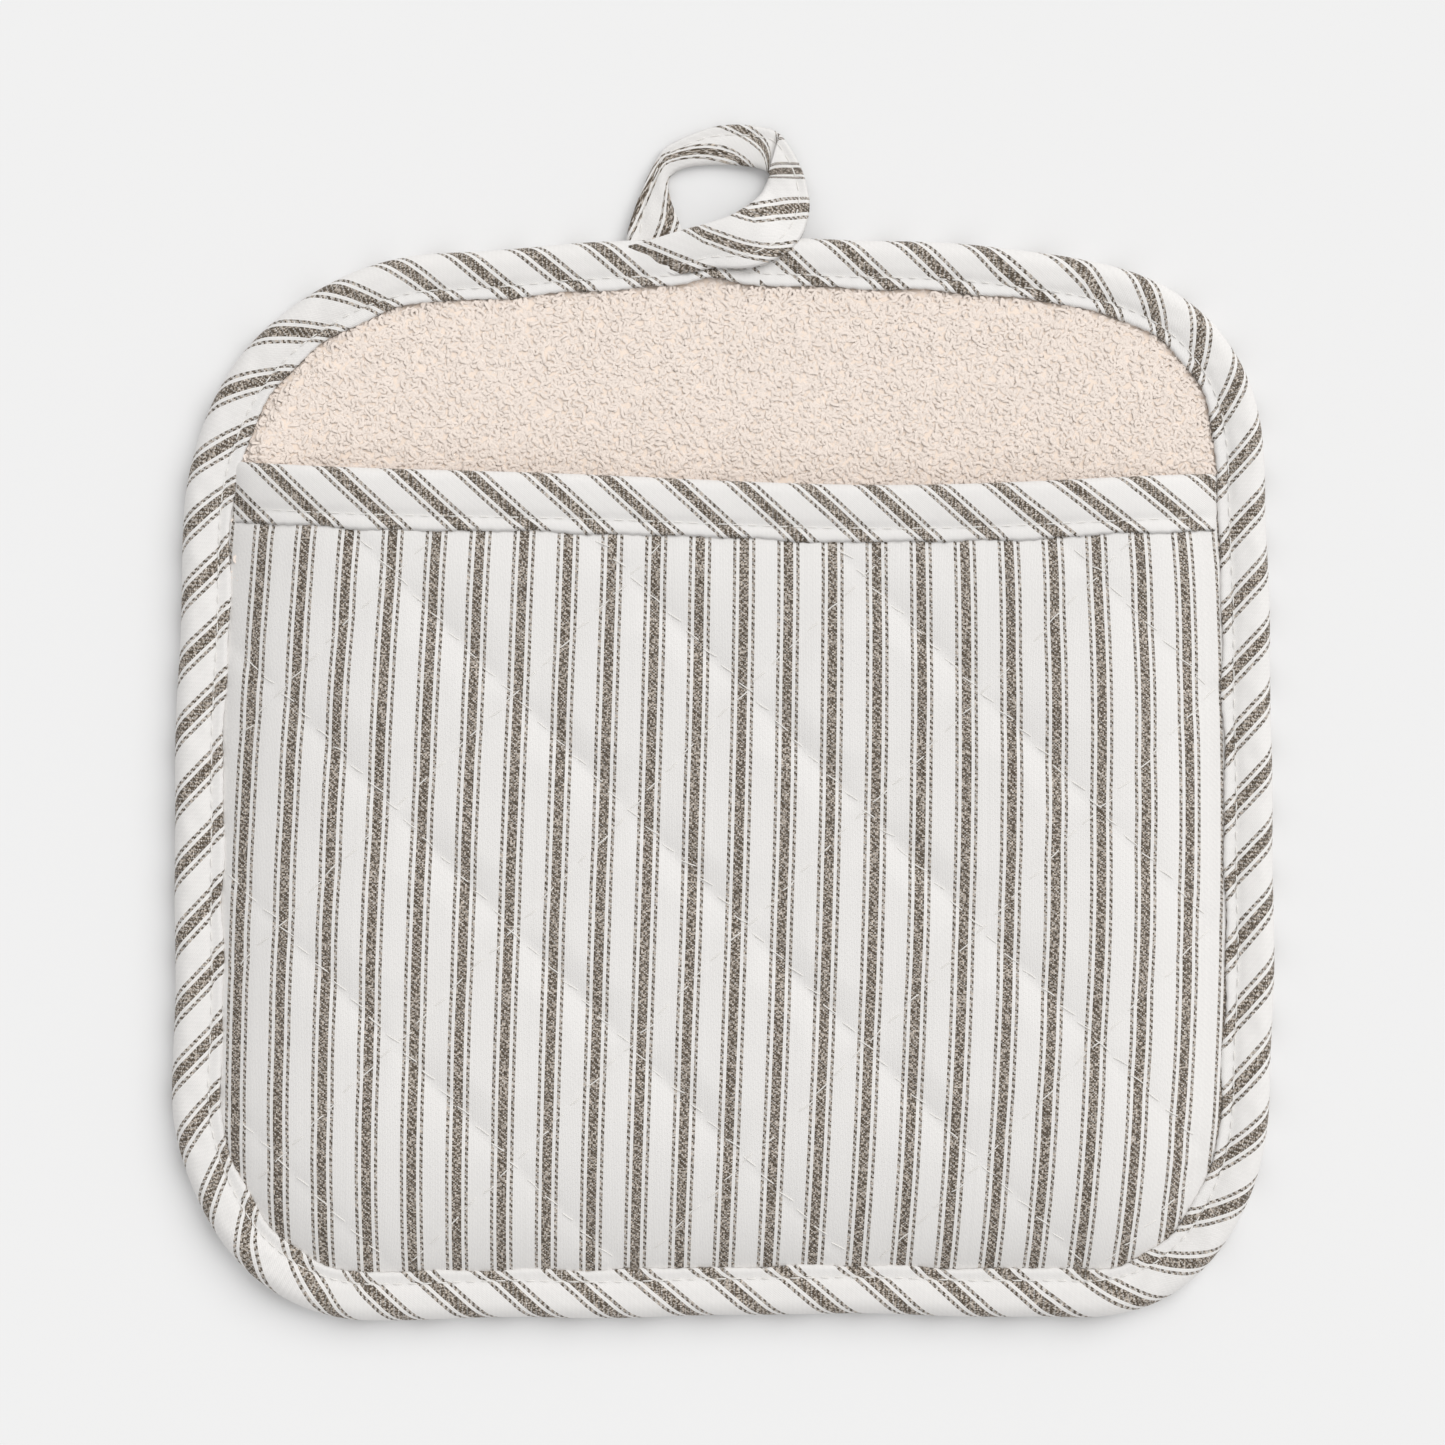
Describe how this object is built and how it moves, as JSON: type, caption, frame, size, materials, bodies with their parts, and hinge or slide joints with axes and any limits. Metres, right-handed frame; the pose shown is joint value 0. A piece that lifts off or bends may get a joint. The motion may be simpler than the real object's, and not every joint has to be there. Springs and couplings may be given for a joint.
{
  "type": "oven mitt",
  "caption": "Square quilted pocket oven mitt in striped ticking, with a terry face, bias binding and a hanging loop.",
  "frame": {"origin": "middle of the square panel, on the surface the mitt lies on", "axes": "+Z out of the pocket side, +Y towards the hanging loop, +X across the width"},
  "size_m": [0.215, 0.2361, 0.017],
  "materials": {
    "ticking": "matt striped cotton twill",
    "tape": "matt striped cotton twill, cut on the bias",
    "terry": "matt looped cotton towelling",
    "lining": "matt plain cotton",
    "wadding": "matt needled cotton wadding",
    "thread": "soft spun cotton thread"
  },
  "bodies": {
    "back_panel": {"back_ticking": "ticking", "back_batting": "wadding", "back_quilting_thread": "thread", "back_quilting_bobbin": "thread", "terry_panel": "terry", "edge_binding": "tape", "edge_topstitch": "thread", "edge_topstitch_bobbin": "thread"},
    "loop": {"hanging_loop": "tape", "loop_edge_stitch": "thread"},
    "pocket": {"pocket_lining": "lining", "pocket_batting": "wadding", "pocket_ticking": "ticking", "pocket_quilting_thread": "thread", "pocket_quilting_bobbin": "thread", "pocket_binding": "tape", "mouth_topstitch": "thread", "mouth_topstitch_bobbin": "thread"}
  },
  "joints": [
    {"name": "pocket_open", "type": "hinge", "parent": "back_panel", "child": "pocket", "pos_m": [0, -0.0957, 0.0086], "axis": [1, 0, 0], "range_deg": [0, 10], "stiffness_Nm_per_rad": 0.05},
    {"name": "loop_swing", "type": "hinge", "parent": "back_panel", "child": "loop", "pos_m": [0, 0.1073, 0.0032], "axis": [1, 0, 0], "range_deg": [-80, 90], "stiffness_Nm_per_rad": 0.004}
  ]
}
